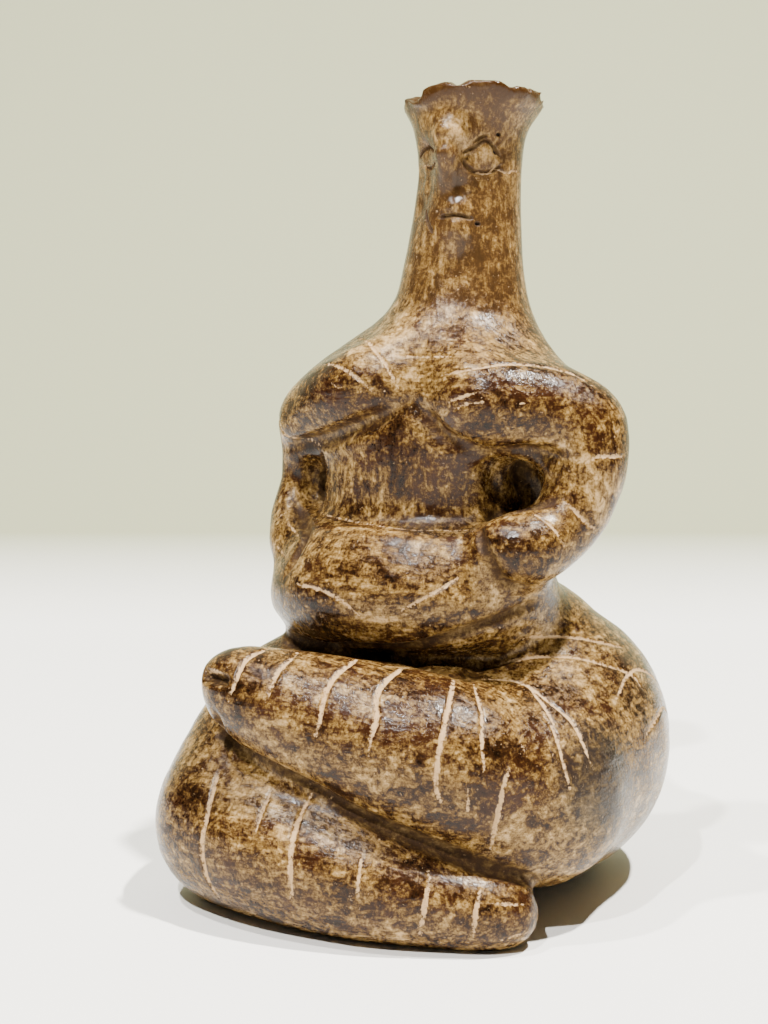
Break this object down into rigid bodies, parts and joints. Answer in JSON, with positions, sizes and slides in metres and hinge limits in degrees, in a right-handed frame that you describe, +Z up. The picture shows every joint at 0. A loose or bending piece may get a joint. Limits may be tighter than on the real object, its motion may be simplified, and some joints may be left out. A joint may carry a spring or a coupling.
{
  "type": "seated figure vessel",
  "caption": "Hollow burnished clay vessel in the form of a seated figure with folded legs, arms bent to the waist, and a tall neck that opens in a flared mouth.",
  "frame": {"origin": "on the flat underside that the vessel rests on, below the neck", "axes": "+Z up along the neck to the mouth, -Y the way the figure faces, +X its left"},
  "size_m": [0.0834, 0.085, 0.145],
  "materials": {
    "clay": "burnished, worn"
  },
  "bodies": {
    "root": {"vessel": "clay"}
  },
  "joints": []
}
